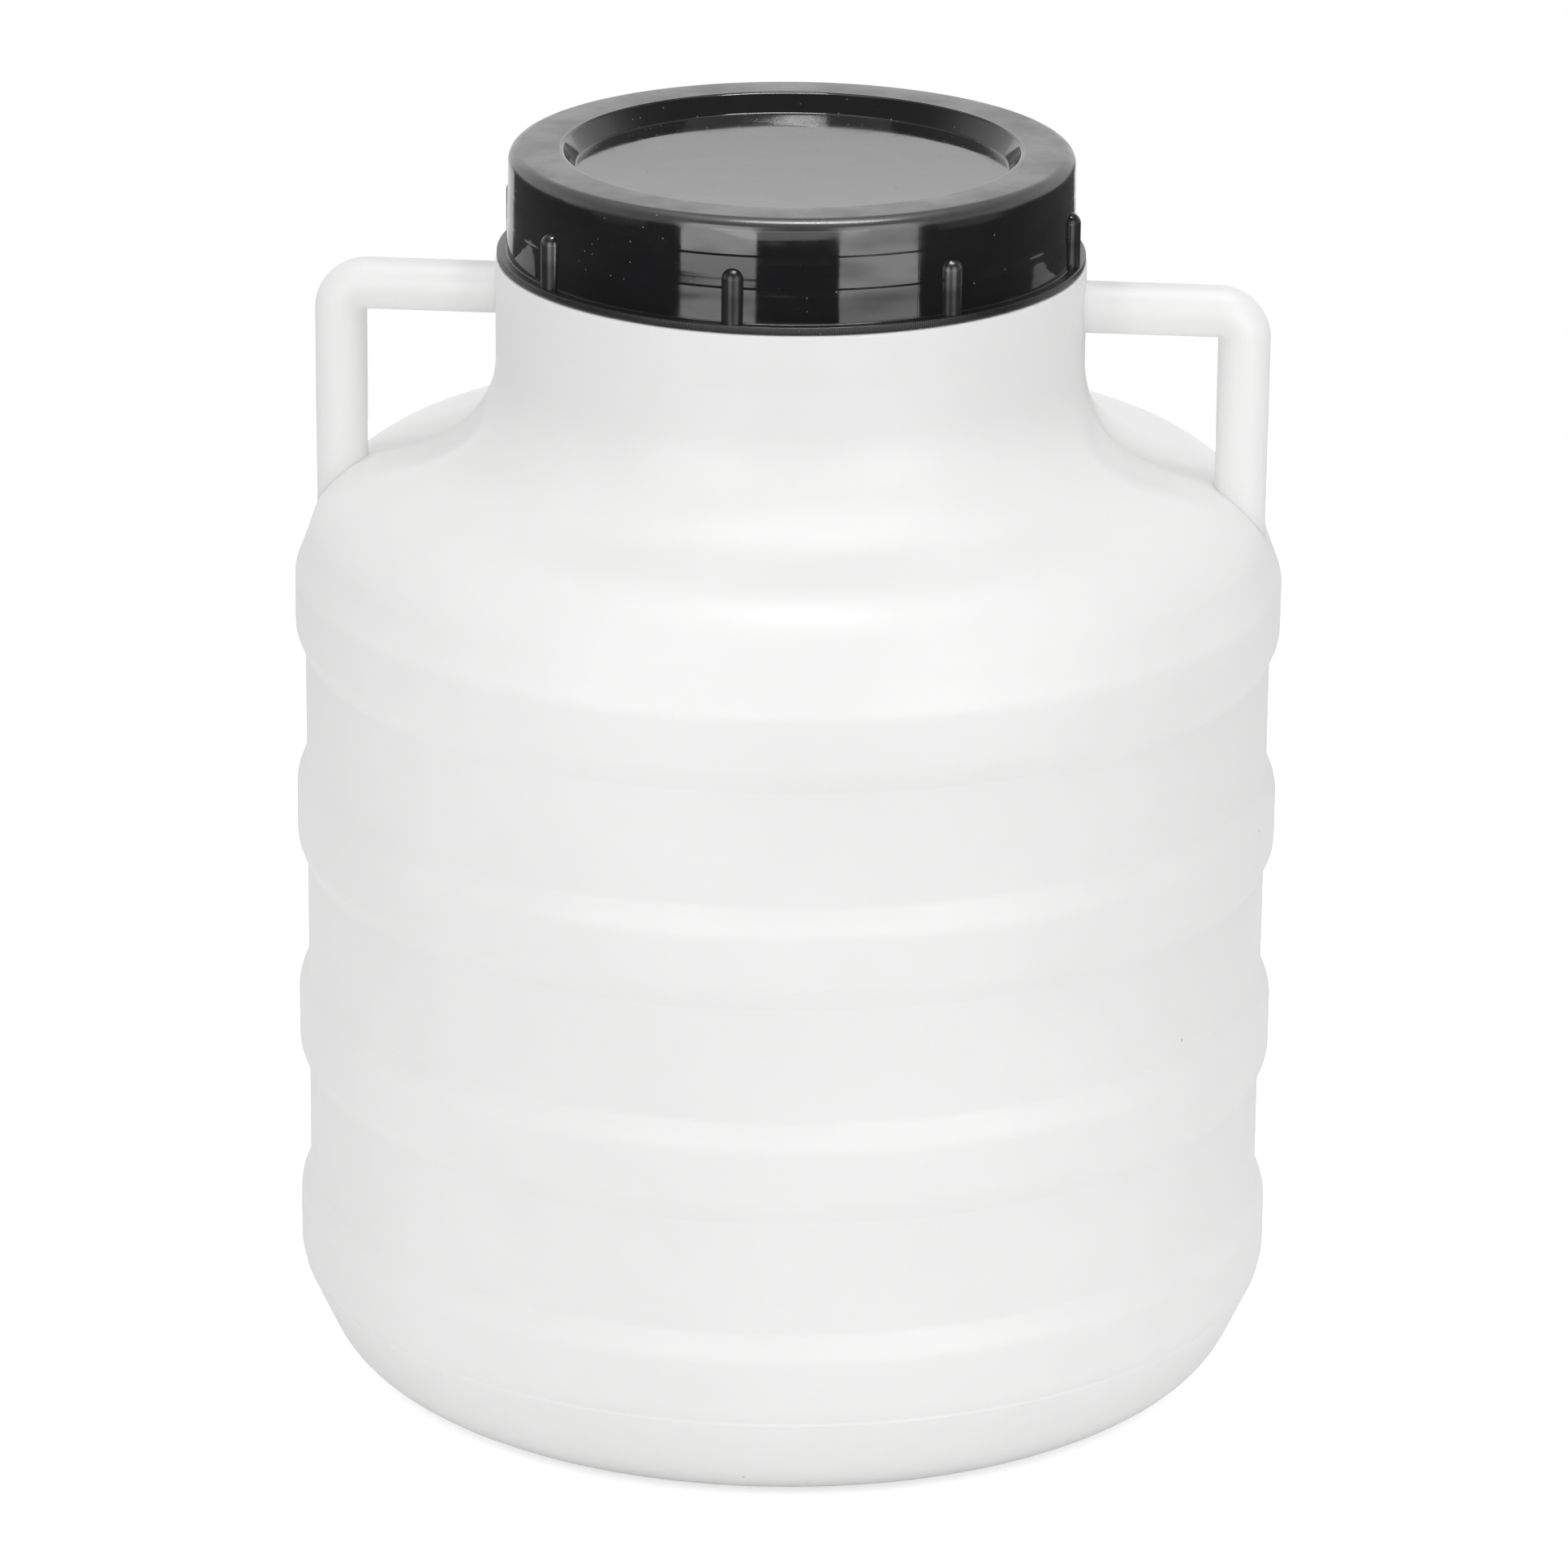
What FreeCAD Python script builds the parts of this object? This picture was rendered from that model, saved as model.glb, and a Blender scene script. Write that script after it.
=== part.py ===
"""Wide-mouth plastic barrel with a screw lid.

The barrel is one blow-moulded piece: a tapered base, a wall ringed by four hoops, a sloping
shoulder, a neck and two tubular handles that leave the neck and come down into the shoulder.
It is shut, so it is a plain solid up to the underside of its lid. The lid is a cap of even
thickness that stands on the rim of the mouth, with a flange along its lower edge, grip ribs
round its side and a sunk panel that drops into the mouth.

Sizes are in millimetres. The origin is the centre of the base, +Z is up, and the handles lie
along +X and -X.
"""
import FreeCAD, Part
import math
import os
import Sketcher

SIZES = [
    ("body_radius", 172.0, "wall between the hoops"),
    ("base_taper", 14.0, "how much narrower than the wall the foot of the base is"),
    ("base_height", 32.0, "floor to the lower edge of the first hoop"),
    ("base_lap", 3.0, "how far the base reaches up over the first hoop"),
    ("base_proud", 2.3, "how far the top of the base stands out of the wall"),
    ("heel_round", 28.0, "rounding of the heel"),
    ("hoop_count", 4, "number of hoops"),
    ("hoop_pitch", 78.0, "from one hoop to the next"),
    ("hoop_proud", 3.5, "how far a hoop stands out of the wall"),
    ("hoop_lower", 7.0, "height of a hoop's lower slope"),
    ("hoop_face", 20.5, "height of a hoop's upright face"),
    ("hoop_upper", 9.0, "height of a hoop's upper slope, down to the wall"),
    ("hoop_root", 1.0, "how far the upper slope runs on inside the wall"),
    ("crest_round", 10.0, "rounding at both edges of a hoop's face"),
    ("crease_round", 1.5, "rounding in the crease under a hoop"),
    ("shoulder_rise", 21.0, "top hoop to where wall and shoulder would meet"),
    ("shoulder_slope", 15.5, "fall of the shoulder, in degrees"),
    ("shoulder_round", 35.0, "rounding of wall into shoulder"),
    ("neck_round", 37.0, "rounding of shoulder into neck"),
    ("neck_height", 64.5, "shoulder line to the shelf under the lid"),
    ("neck_shelf", 6.8, "width of the shelf round the mouth"),
    ("shelf_round", 1.2, "rounding of the edge of the shelf"),
    ("mouth_radius", 97.2, "outside of the mouth, inside the lid"),
    ("handle_inset", 12.0, "wall radius less the reach of the handle's middle line"),
    ("handle_drop", 14.7, "shelf to the middle of the handle's bar"),
    ("tube_radius", 9.2, "handle tube"),
    ("grip_corner", 0.3, "radius of the handle's inner corner"),
    ("lid_wall", 2.6, "thickness of the lid"),
    ("lid_clearance", 0.3, "between the lid and what it slides over"),
    ("lid_gap", 0.3, "between the shelf and the lower edge of the lid"),
    ("lid_height", 39.0, "lower edge to the rim"),
    ("lid_draft", 0.7, "how much narrower the lid is at the rim"),
    ("flange_proud", 3.5, "how far the flange stands out of the lid's side"),
    ("flange_height", 2.6, "height of the flange"),
    ("flange_round", 0.6, "rounding of the edges of the flange"),
    ("rim_width", 19.0, "flat ring round the sunk panel"),
    ("rim_round", 3.8, "rounding of the outer edge of the rim"),
    ("lip_round", 0.8, "rounding of the inner edge of the rim"),
    ("panel_depth", 7.0, "how far the panel is sunk"),
    ("panel_run", 4.3, "how far the wall of the recess leans in on its way down"),
    ("rib_count", 8, "number of grip ribs"),
    ("rib_radius", 3.9, "half the width of a rib"),
    ("rib_proud", 2.8, "how far a rib stands out of the lid's side"),
    ("rib_height", 21.8, "lower edge of the lid to the top of a rib"),
    ("lid_turn", -6.3, "how far the lid is screwed round, in degrees"),
]

# Heights and radii that follow from the driving sizes.
BASE_RADIUS = "(Sizes.body_radius - Sizes.base_taper)"
HOOP_HEIGHT = "(Sizes.hoop_lower + Sizes.hoop_face + Sizes.hoop_upper)"
HOOP_RADIUS = "(Sizes.body_radius + Sizes.hoop_proud)"
HOOP_STACK = "((Sizes.hoop_count - 1) * Sizes.hoop_pitch)"
HOOPS_TOP = f"(Sizes.base_height + {HOOP_STACK} + {HOOP_HEIGHT})"
WALL_TOP = f"({HOOPS_TOP} + Sizes.shoulder_rise)"
NECK_RADIUS = "(Sizes.mouth_radius + Sizes.neck_shelf)"
SHOULDER_SPAN = f"(Sizes.body_radius - {NECK_RADIUS})"
NECK_FOOT = f"({WALL_TOP} + {SHOULDER_SPAN} * tan(Sizes.shoulder_slope))"
SHELF = f"({NECK_FOOT} + Sizes.neck_height)"
LID_FOOT = f"({SHELF} + Sizes.lid_gap)"
LID_TOP = f"({LID_FOOT} + Sizes.lid_height)"
LID_BORE = "(Sizes.mouth_radius + Sizes.lid_clearance)"
LID_RADIUS = f"({LID_BORE} + Sizes.lid_wall)"
RIM_RADIUS = f"({LID_RADIUS} - Sizes.lid_draft)"
RECESS_RADIUS = f"({RIM_RADIUS} - Sizes.rim_width)"
PLUG_BORE = f"({RECESS_RADIUS} + Sizes.lid_wall + Sizes.lid_clearance)"

# The shoulder's two roundings share the straight fall between wall and neck.
SHOULDER_FALL = f"({SHOULDER_SPAN} / cos(Sizes.shoulder_slope))"
HALF_TURN = "(45 - Sizes.shoulder_slope / 2)"
SHOULDER_ROUND = f"min(Sizes.shoulder_round; 0.4 * {SHOULDER_FALL} / tan({HALF_TURN}))"
NECK_ROUND = f"min(Sizes.neck_round; 0.55 * {SHOULDER_FALL} / tan({HALF_TURN}))"

EDGE_TOLERANCE = 0.02
QUARTER_TURN = math.pi / 2


def make_sheet(document):
    """Put the driving sizes into a spreadsheet, one row each, with their names as aliases."""
    sheet = document.addObject("Spreadsheet::Sheet", "Sizes")
    for row, (alias, size, note) in enumerate(SIZES, start=1):
        sheet.set(f"A{row}", alias)
        sheet.set(f"B{row}", str(size))
        sheet.set(f"C{row}", note)
        sheet.setAlias(f"B{row}", alias)
    document.recompute()
    return sheet


def number(body, expression):
    """Work out an expression of the sheet's sizes as a plain number."""
    result = body.evalExpression(str(expression))
    return float(getattr(result, "Value", result))


def origin_feature(body, role):
    """Find one of the body's own planes or axes by its role."""
    return next(item for item in body.Origin.OriginFeatures if item.Role == role)


def new_body(document, label):
    body = document.addObject("PartDesign::Body", label)
    body.Label = label
    return body


def new_sketch(body, name, role):
    """Start a sketch on one of the body's own origin planes."""
    sketch = body.newObject("Sketcher::SketchObject", name)
    sketch.AttachmentSupport = [(origin_feature(body, role), "")]
    sketch.MapMode = "FlatFace"
    return sketch


def bind_point(sketch, geometry, point, across, up):
    """Hold a sketch point at the place that two expressions give; None holds it on an axis."""
    for kind, axis, expression in (("DistanceX", -2, across), ("DistanceY", -1, up)):
        if expression is None:
            sketch.addConstraint(Sketcher.Constraint("PointOnObject", geometry, point, axis))
            continue
        start = number(sketch, expression)
        index = sketch.addConstraint(Sketcher.Constraint(kind, -1, 1, geometry, point, start))
        sketch.setExpression(f"Constraints[{index}]", str(expression))


def draw_outline(sketch, corners):
    """Draw a closed outline of straight lines through corners given as pairs of expressions."""
    places = [
        FreeCAD.Vector(
            0 if across is None else number(sketch, across),
            0 if up is None else number(sketch, up),
            0,
        )
        for across, up in corners
    ]
    for index, place in enumerate(places):
        following = places[(index + 1) % len(places)]
        sketch.addGeometry(Part.LineSegment(place, following), False)
    for index, (across, up) in enumerate(corners):
        before = (index - 1) % len(corners)
        sketch.addConstraint(Sketcher.Constraint("Coincident", before, 2, index, 1))
        bind_point(sketch, index, 1, across, up)


def revolve(body, name, sketch, axis="V_Axis", angle=360):
    """Turn a sketch round an upright axis, by half the angle to each side."""
    feature = body.newObject("PartDesign::Revolution", name)
    feature.Profile = sketch
    feature.ReferenceAxis = (sketch, [axis])
    feature.Midplane = True
    feature.Angle = angle
    body.Document.recompute()
    return feature


def ring_edges(feature, wanted):
    """Name the circular edges of a feature for which wanted(radius, height) holds."""
    names = []
    for index, edge in enumerate(feature.Shape.Edges, start=1):
        if not isinstance(edge.Curve, Part.Circle):
            continue
        if wanted(edge.Curve.Radius, edge.Curve.Center.z):
            names.append(f"Edge{index}")
    return names


def round_rings(body, name, base, wanted, radius):
    """Round the circular edges that wanted picks, by a radius given as an expression."""
    feature = body.newObject("PartDesign::Fillet", name)
    feature.Base = (base, ring_edges(base, wanted))
    feature.setExpression("Radius", radius)
    body.Document.recompute()
    return feature


def round_ring(body, name, base, radius_at, height_at, radius):
    """Round the one ring that lies at a given radius and height."""
    across = number(body, radius_at)
    up = number(body, height_at)

    def wanted(ring_radius, ring_height):
        return abs(ring_radius - across) < EDGE_TOLERANCE and abs(ring_height - up) < EDGE_TOLERANCE

    return round_rings(body, name, base, wanted, radius)


def make_shell(body):
    """Turn the barrel without its hoops: base, wall, shoulder, neck and mouth."""
    sketch = new_sketch(body, "barrel_outline", "XZ_Plane")
    mouth_top = f"({LID_TOP} - Sizes.lid_wall)"
    mouth_floor = f"({mouth_top} - Sizes.panel_depth - Sizes.lid_clearance)"
    base_top = "(Sizes.base_height + Sizes.base_lap)"
    draw_outline(sketch, [
        (None, None),
        (BASE_RADIUS, None),
        ("(Sizes.body_radius + Sizes.base_proud)", base_top),
        ("Sizes.body_radius", base_top),
        ("Sizes.body_radius", WALL_TOP),
        (NECK_RADIUS, NECK_FOOT),
        (NECK_RADIUS, SHELF),
        ("Sizes.mouth_radius", SHELF),
        ("Sizes.mouth_radius", mouth_top),
        (PLUG_BORE, mouth_top),
        (f"({PLUG_BORE} - Sizes.panel_run)", mouth_floor),
        (None, mouth_floor),
    ])
    shell = revolve(body, "shell", sketch)
    shell = round_ring(body, "heel", shell, BASE_RADIUS, "0", "Sizes.heel_round")
    shell = round_ring(body, "shoulder", shell, "Sizes.body_radius", WALL_TOP, SHOULDER_ROUND)
    shell = round_ring(body, "neck", shell, NECK_RADIUS, NECK_FOOT, NECK_ROUND)
    return round_ring(body, "shelf_edge", shell, NECK_RADIUS, SHELF, "Sizes.shelf_round")


def make_hoops(body, shell):
    """Add the hoops: one ring with sloping edges, repeated up the wall."""
    sketch = new_sketch(body, "hoop_outline", "XZ_Plane")
    inside = "(Sizes.body_radius - 2 * Sizes.hoop_proud)"
    face_top = "(Sizes.base_height + Sizes.hoop_lower + Sizes.hoop_face)"
    run_on = "(Sizes.hoop_upper * (1 + Sizes.hoop_root / Sizes.hoop_proud))"
    root_top = f"({face_top} + {run_on})"
    draw_outline(sketch, [
        (inside, "Sizes.base_height"),
        ("Sizes.body_radius", "Sizes.base_height"),
        (HOOP_RADIUS, "(Sizes.base_height + Sizes.hoop_lower)"),
        (HOOP_RADIUS, face_top),
        ("(Sizes.body_radius - Sizes.hoop_root)", root_top),
        (inside, root_top),
    ])
    hoop = revolve(body, "hoop", sketch)
    hoops = body.newObject("PartDesign::LinearPattern", "hoops")
    hoops.Originals = [hoop]
    hoops.Direction = (origin_feature(body, "Z_Axis"), [""])
    hoops.setExpression("Occurrences", "Sizes.hoop_count")
    hoops.setExpression("Length", HOOP_STACK)
    body.Tip = hoops
    body.Document.recompute()

    crest = number(body, HOOP_RADIUS)
    wall = number(body, "Sizes.body_radius")
    lowest = number(body, "Sizes.base_height")
    pitch = number(body, "Sizes.hoop_pitch")

    def is_crest(radius, height):
        return abs(radius - crest) < EDGE_TOLERANCE

    def is_crease(radius, height):
        steps = (height - lowest) / pitch
        on_a_hoop = abs(steps - round(steps)) * pitch < EDGE_TOLERANCE
        return abs(radius - wall) < EDGE_TOLERANCE and on_a_hoop

    crests = round_rings(body, "hoop_crests", hoops, is_crest, "Sizes.crest_round")
    return round_rings(body, "hoop_creases", crests, is_crease, "Sizes.crease_round")


def make_handles(body):
    """Add the handles: a tube from the neck out and down into the shoulder, and its mirror."""
    bar_height = f"({SHELF} - Sizes.handle_drop)"
    reach = "(Sizes.body_radius - Sizes.handle_inset)"
    bend = "(Sizes.tube_radius + Sizes.grip_corner)"
    bar = number(body, bar_height)
    out = number(body, reach)
    turn = number(body, bend)
    foot = number(body, HOOPS_TOP)

    path = new_sketch(body, "handle_path", "XZ_Plane")
    corner = FreeCAD.Vector(out - turn, bar - turn, 0)
    circle = Part.Circle(corner, FreeCAD.Vector(0, 0, 1), turn)
    path.addGeometry(Part.LineSegment(FreeCAD.Vector(0, bar, 0), FreeCAD.Vector(out - turn, bar, 0)))
    path.addGeometry(Part.ArcOfCircle(circle, 0, QUARTER_TURN))
    path.addGeometry(Part.LineSegment(FreeCAD.Vector(out, bar - turn, 0), FreeCAD.Vector(out, foot, 0)))
    path.addConstraint(Sketcher.Constraint("Tangent", 0, 2, 1, 2))
    path.addConstraint(Sketcher.Constraint("Tangent", 1, 1, 2, 1))
    path.addConstraint(Sketcher.Constraint("Horizontal", 0))
    path.addConstraint(Sketcher.Constraint("Vertical", 2))
    bind_point(path, 0, 1, None, bar_height)
    bind_point(path, 2, 2, reach, HOOPS_TOP)
    radius = path.addConstraint(Sketcher.Constraint("Radius", 1, turn))
    path.setExpression(f"Constraints[{radius}]", bend)

    section = new_sketch(body, "handle_section", "YZ_Plane")
    tube = number(body, "Sizes.tube_radius")
    centre = FreeCAD.Vector(0, bar, 0)
    section.addGeometry(Part.Circle(centre, FreeCAD.Vector(0, 0, 1), tube))
    bind_point(section, 0, 3, None, bar_height)
    radius = section.addConstraint(Sketcher.Constraint("Radius", 0, tube))
    section.setExpression(f"Constraints[{radius}]", "Sizes.tube_radius")

    handle = body.newObject("PartDesign::AdditivePipe", "handle")
    handle.Profile = section
    handle.Spine = (path, ["Edge1", "Edge2", "Edge3"])
    body.Document.recompute()
    pair = body.newObject("PartDesign::Mirrored", "handles")
    pair.Originals = [handle]
    pair.MirrorPlane = (origin_feature(body, "YZ_Plane"), [""])
    body.Tip = pair
    body.Document.recompute()
    return pair


def make_barrel(document):
    body = new_body(document, "barrel")
    shell = make_shell(body)
    make_hoops(body, shell)
    make_handles(body)
    return body


def make_cap(body):
    """Turn the lid: side with flange, flat rim and sunk panel, all of one thickness."""
    flange_top = f"({LID_FOOT} + Sizes.flange_height)"
    flange_radius = f"({LID_RADIUS} + Sizes.flange_proud)"
    panel = f"({LID_TOP} - Sizes.panel_depth)"
    panel_radius = f"({RECESS_RADIUS} - Sizes.panel_run)"
    recess_back = f"({RECESS_RADIUS} + Sizes.lid_wall)"
    rim_under = f"({LID_TOP} - Sizes.lid_wall)"
    panel_under = f"({panel} - Sizes.lid_wall)"

    sketch = new_sketch(body, "lid_outline", "XZ_Plane")
    draw_outline(sketch, [
        (LID_BORE, LID_FOOT),
        (flange_radius, LID_FOOT),
        (flange_radius, flange_top),
        (LID_RADIUS, flange_top),
        (RIM_RADIUS, LID_TOP),
        (RECESS_RADIUS, LID_TOP),
        (panel_radius, panel),
        (None, panel),
        (None, panel_under),
        (f"({recess_back} - Sizes.panel_run)", panel_under),
        (recess_back, rim_under),
        (LID_BORE, rim_under),
    ])
    cap = revolve(body, "cap", sketch)
    cap = round_ring(body, "rim_edge", cap, RIM_RADIUS, LID_TOP, "Sizes.rim_round")
    cap = round_ring(body, "lip_edge", cap, RECESS_RADIUS, LID_TOP, "Sizes.lip_round")
    cap = round_ring(body, "flange_top", cap, flange_radius, flange_top, "Sizes.flange_round")
    return round_ring(body, "flange_foot", cap, flange_radius, LID_FOOT, "Sizes.flange_round")


def make_ribs(body):
    """Add the grip ribs: upright half-round ribs with domed tops, repeated round the side.

    A rib's own axis lies inside the wall of the lid, so only its outer half is made.
    """
    middle = f"({LID_RADIUS} - Sizes.rib_radius + Sizes.rib_proud)"
    outer = f"({middle} + Sizes.rib_radius)"
    foot = f"({LID_FOOT} + Sizes.flange_height / 2)"
    dome = f"({LID_FOOT} + Sizes.rib_height - Sizes.rib_radius)"
    across = number(body, middle)
    reach = number(body, outer)
    low = number(body, foot)
    high = number(body, dome)
    radius = number(body, "Sizes.rib_radius")

    sketch = new_sketch(body, "rib_outline", "XZ_Plane")
    sketch.addGeometry(Part.LineSegment(FreeCAD.Vector(across, low, 0), FreeCAD.Vector(reach, low, 0)))
    sketch.addGeometry(Part.LineSegment(FreeCAD.Vector(reach, low, 0), FreeCAD.Vector(reach, high, 0)))
    circle = Part.Circle(FreeCAD.Vector(across, high, 0), FreeCAD.Vector(0, 0, 1), radius)
    sketch.addGeometry(Part.ArcOfCircle(circle, 0, QUARTER_TURN))
    top = FreeCAD.Vector(across, high + radius, 0)
    sketch.addGeometry(Part.LineSegment(top, FreeCAD.Vector(across, low, 0)))
    sketch.addConstraint(Sketcher.Constraint("Coincident", 0, 2, 1, 1))
    sketch.addConstraint(Sketcher.Constraint("Tangent", 1, 2, 2, 1))
    sketch.addConstraint(Sketcher.Constraint("Coincident", 2, 2, 3, 1))
    sketch.addConstraint(Sketcher.Constraint("Coincident", 3, 2, 0, 1))
    sketch.addConstraint(Sketcher.Constraint("Horizontal", 0))
    sketch.addConstraint(Sketcher.Constraint("Vertical", 1))
    sketch.addConstraint(Sketcher.Constraint("PointOnObject", 2, 3, 3))
    bind_point(sketch, 0, 1, middle, foot)
    bind_point(sketch, 2, 1, outer, dome)
    sketch.addConstraint(Sketcher.Constraint("Vertical", 3))

    rib = revolve(body, "rib", sketch, axis="Edge4", angle=180)
    ribs = body.newObject("PartDesign::PolarPattern", "ribs")
    ribs.Originals = [rib]
    ribs.Axis = (origin_feature(body, "Z_Axis"), [""])
    ribs.Angle = 360
    ribs.setExpression("Occurrences", "Sizes.rib_count")
    body.Tip = ribs
    body.Document.recompute()
    return ribs


def make_lid(document):
    body = new_body(document, "lid")
    make_cap(body)
    make_ribs(body)
    body.Placement.Rotation = FreeCAD.Rotation(FreeCAD.Vector(0, 0, 1), number(body, "Sizes.lid_turn"))
    return body


def check(document, bodies):
    """Stop if any feature failed or a piece has no sound shape."""
    for item in document.Objects:
        if "Invalid" in item.State or "Error" in item.State:
            raise RuntimeError(f"{item.Label} failed: {item.State}")
    for body in bodies:
        if body.Shape.isNull() or not body.Shape.isValid() or len(body.Shape.Solids) != 1:
            raise RuntimeError(f"{body.Label} isn't one sound solid")


def main():
    document = FreeCAD.newDocument("barrel_with_lid")
    make_sheet(document)
    bodies = [make_barrel(document), make_lid(document)]
    document.recompute()
    check(document, bodies)
    os.makedirs("parts", exist_ok=True)
    for body in bodies:
        body.Shape.exportStep(f"parts/{body.Label}.step")
        box = body.Shape.BoundBox
        print(body.Label, "volume", round(body.Shape.Volume), "height", round(box.ZMin, 2), round(box.ZMax, 2))


main()
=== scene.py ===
"""Looks of a wide-mouth plastic barrel with a black screw lid.

The barrel is drawn as an outline, turned round the upright axis, and given its two tubular
handles. The lid is turned the same way and gets its grip ribs. Lengths are in metres.
"""

import math

import bmesh
import bpy
from bpy.props import FloatProperty, FloatVectorProperty, IntProperty, PointerProperty
from mathutils import Matrix, Vector


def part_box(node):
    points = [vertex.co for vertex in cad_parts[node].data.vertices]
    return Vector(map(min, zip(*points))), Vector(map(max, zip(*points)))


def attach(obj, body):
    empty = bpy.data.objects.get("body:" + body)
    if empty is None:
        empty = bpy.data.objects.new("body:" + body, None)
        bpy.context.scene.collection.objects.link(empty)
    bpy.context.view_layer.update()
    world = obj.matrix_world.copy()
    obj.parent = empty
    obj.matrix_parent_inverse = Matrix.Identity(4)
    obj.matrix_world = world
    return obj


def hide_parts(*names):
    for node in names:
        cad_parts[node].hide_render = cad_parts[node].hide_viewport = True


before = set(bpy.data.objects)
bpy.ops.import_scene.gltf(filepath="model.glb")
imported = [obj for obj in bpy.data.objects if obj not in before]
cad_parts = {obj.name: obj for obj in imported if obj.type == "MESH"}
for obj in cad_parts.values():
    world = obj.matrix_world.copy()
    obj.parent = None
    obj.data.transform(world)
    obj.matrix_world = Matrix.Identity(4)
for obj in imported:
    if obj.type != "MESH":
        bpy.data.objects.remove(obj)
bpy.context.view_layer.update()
LID_FOOT, LID_TOP = (corner[2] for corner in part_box("lid"))

bl_info = {
    "name": "Barrel with screw lid",
    "version": (1, 0, 0),
    "blender": (4, 5, 0),
    "location": "View3D > Sidebar > Barrel",
    "description": "Makes a white plastic barrel with two handles and a black screw lid",
    "category": "Object",
}

FULL_TURN = 2 * math.pi
QUARTER_TURN = math.pi / 2
UPRIGHT = (0, 0, 1)
ACROSS = (0, 1, 0)
WELD = 1e-6  # points nearer than this are one point
SHARP = math.radians(35)  # edges that turn more than this stay crisp


def length(name, default, description):
    """A size in metres for a property group."""
    return FloatProperty(
        name=name, description=description, default=default, precision=5, unit="LENGTH", subtype="DISTANCE"
    )


def angle(name, degrees, description):
    """An angle for a property group, given in degrees."""
    return FloatProperty(name=name, description=description, default=math.radians(degrees), subtype="ANGLE")


def number(name, default, description):
    """A plain number for a property group."""
    return FloatProperty(name=name, description=description, default=default)


def count(name, default, description, least=1):
    """A whole number for a property group."""
    return IntProperty(name=name, description=description, default=default, min=least)


def colour(name, default, description):
    """A colour for a property group."""
    return FloatVectorProperty(
        name=name, description=description, default=default, size=3, min=0, max=1, subtype="COLOR"
    )


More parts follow.
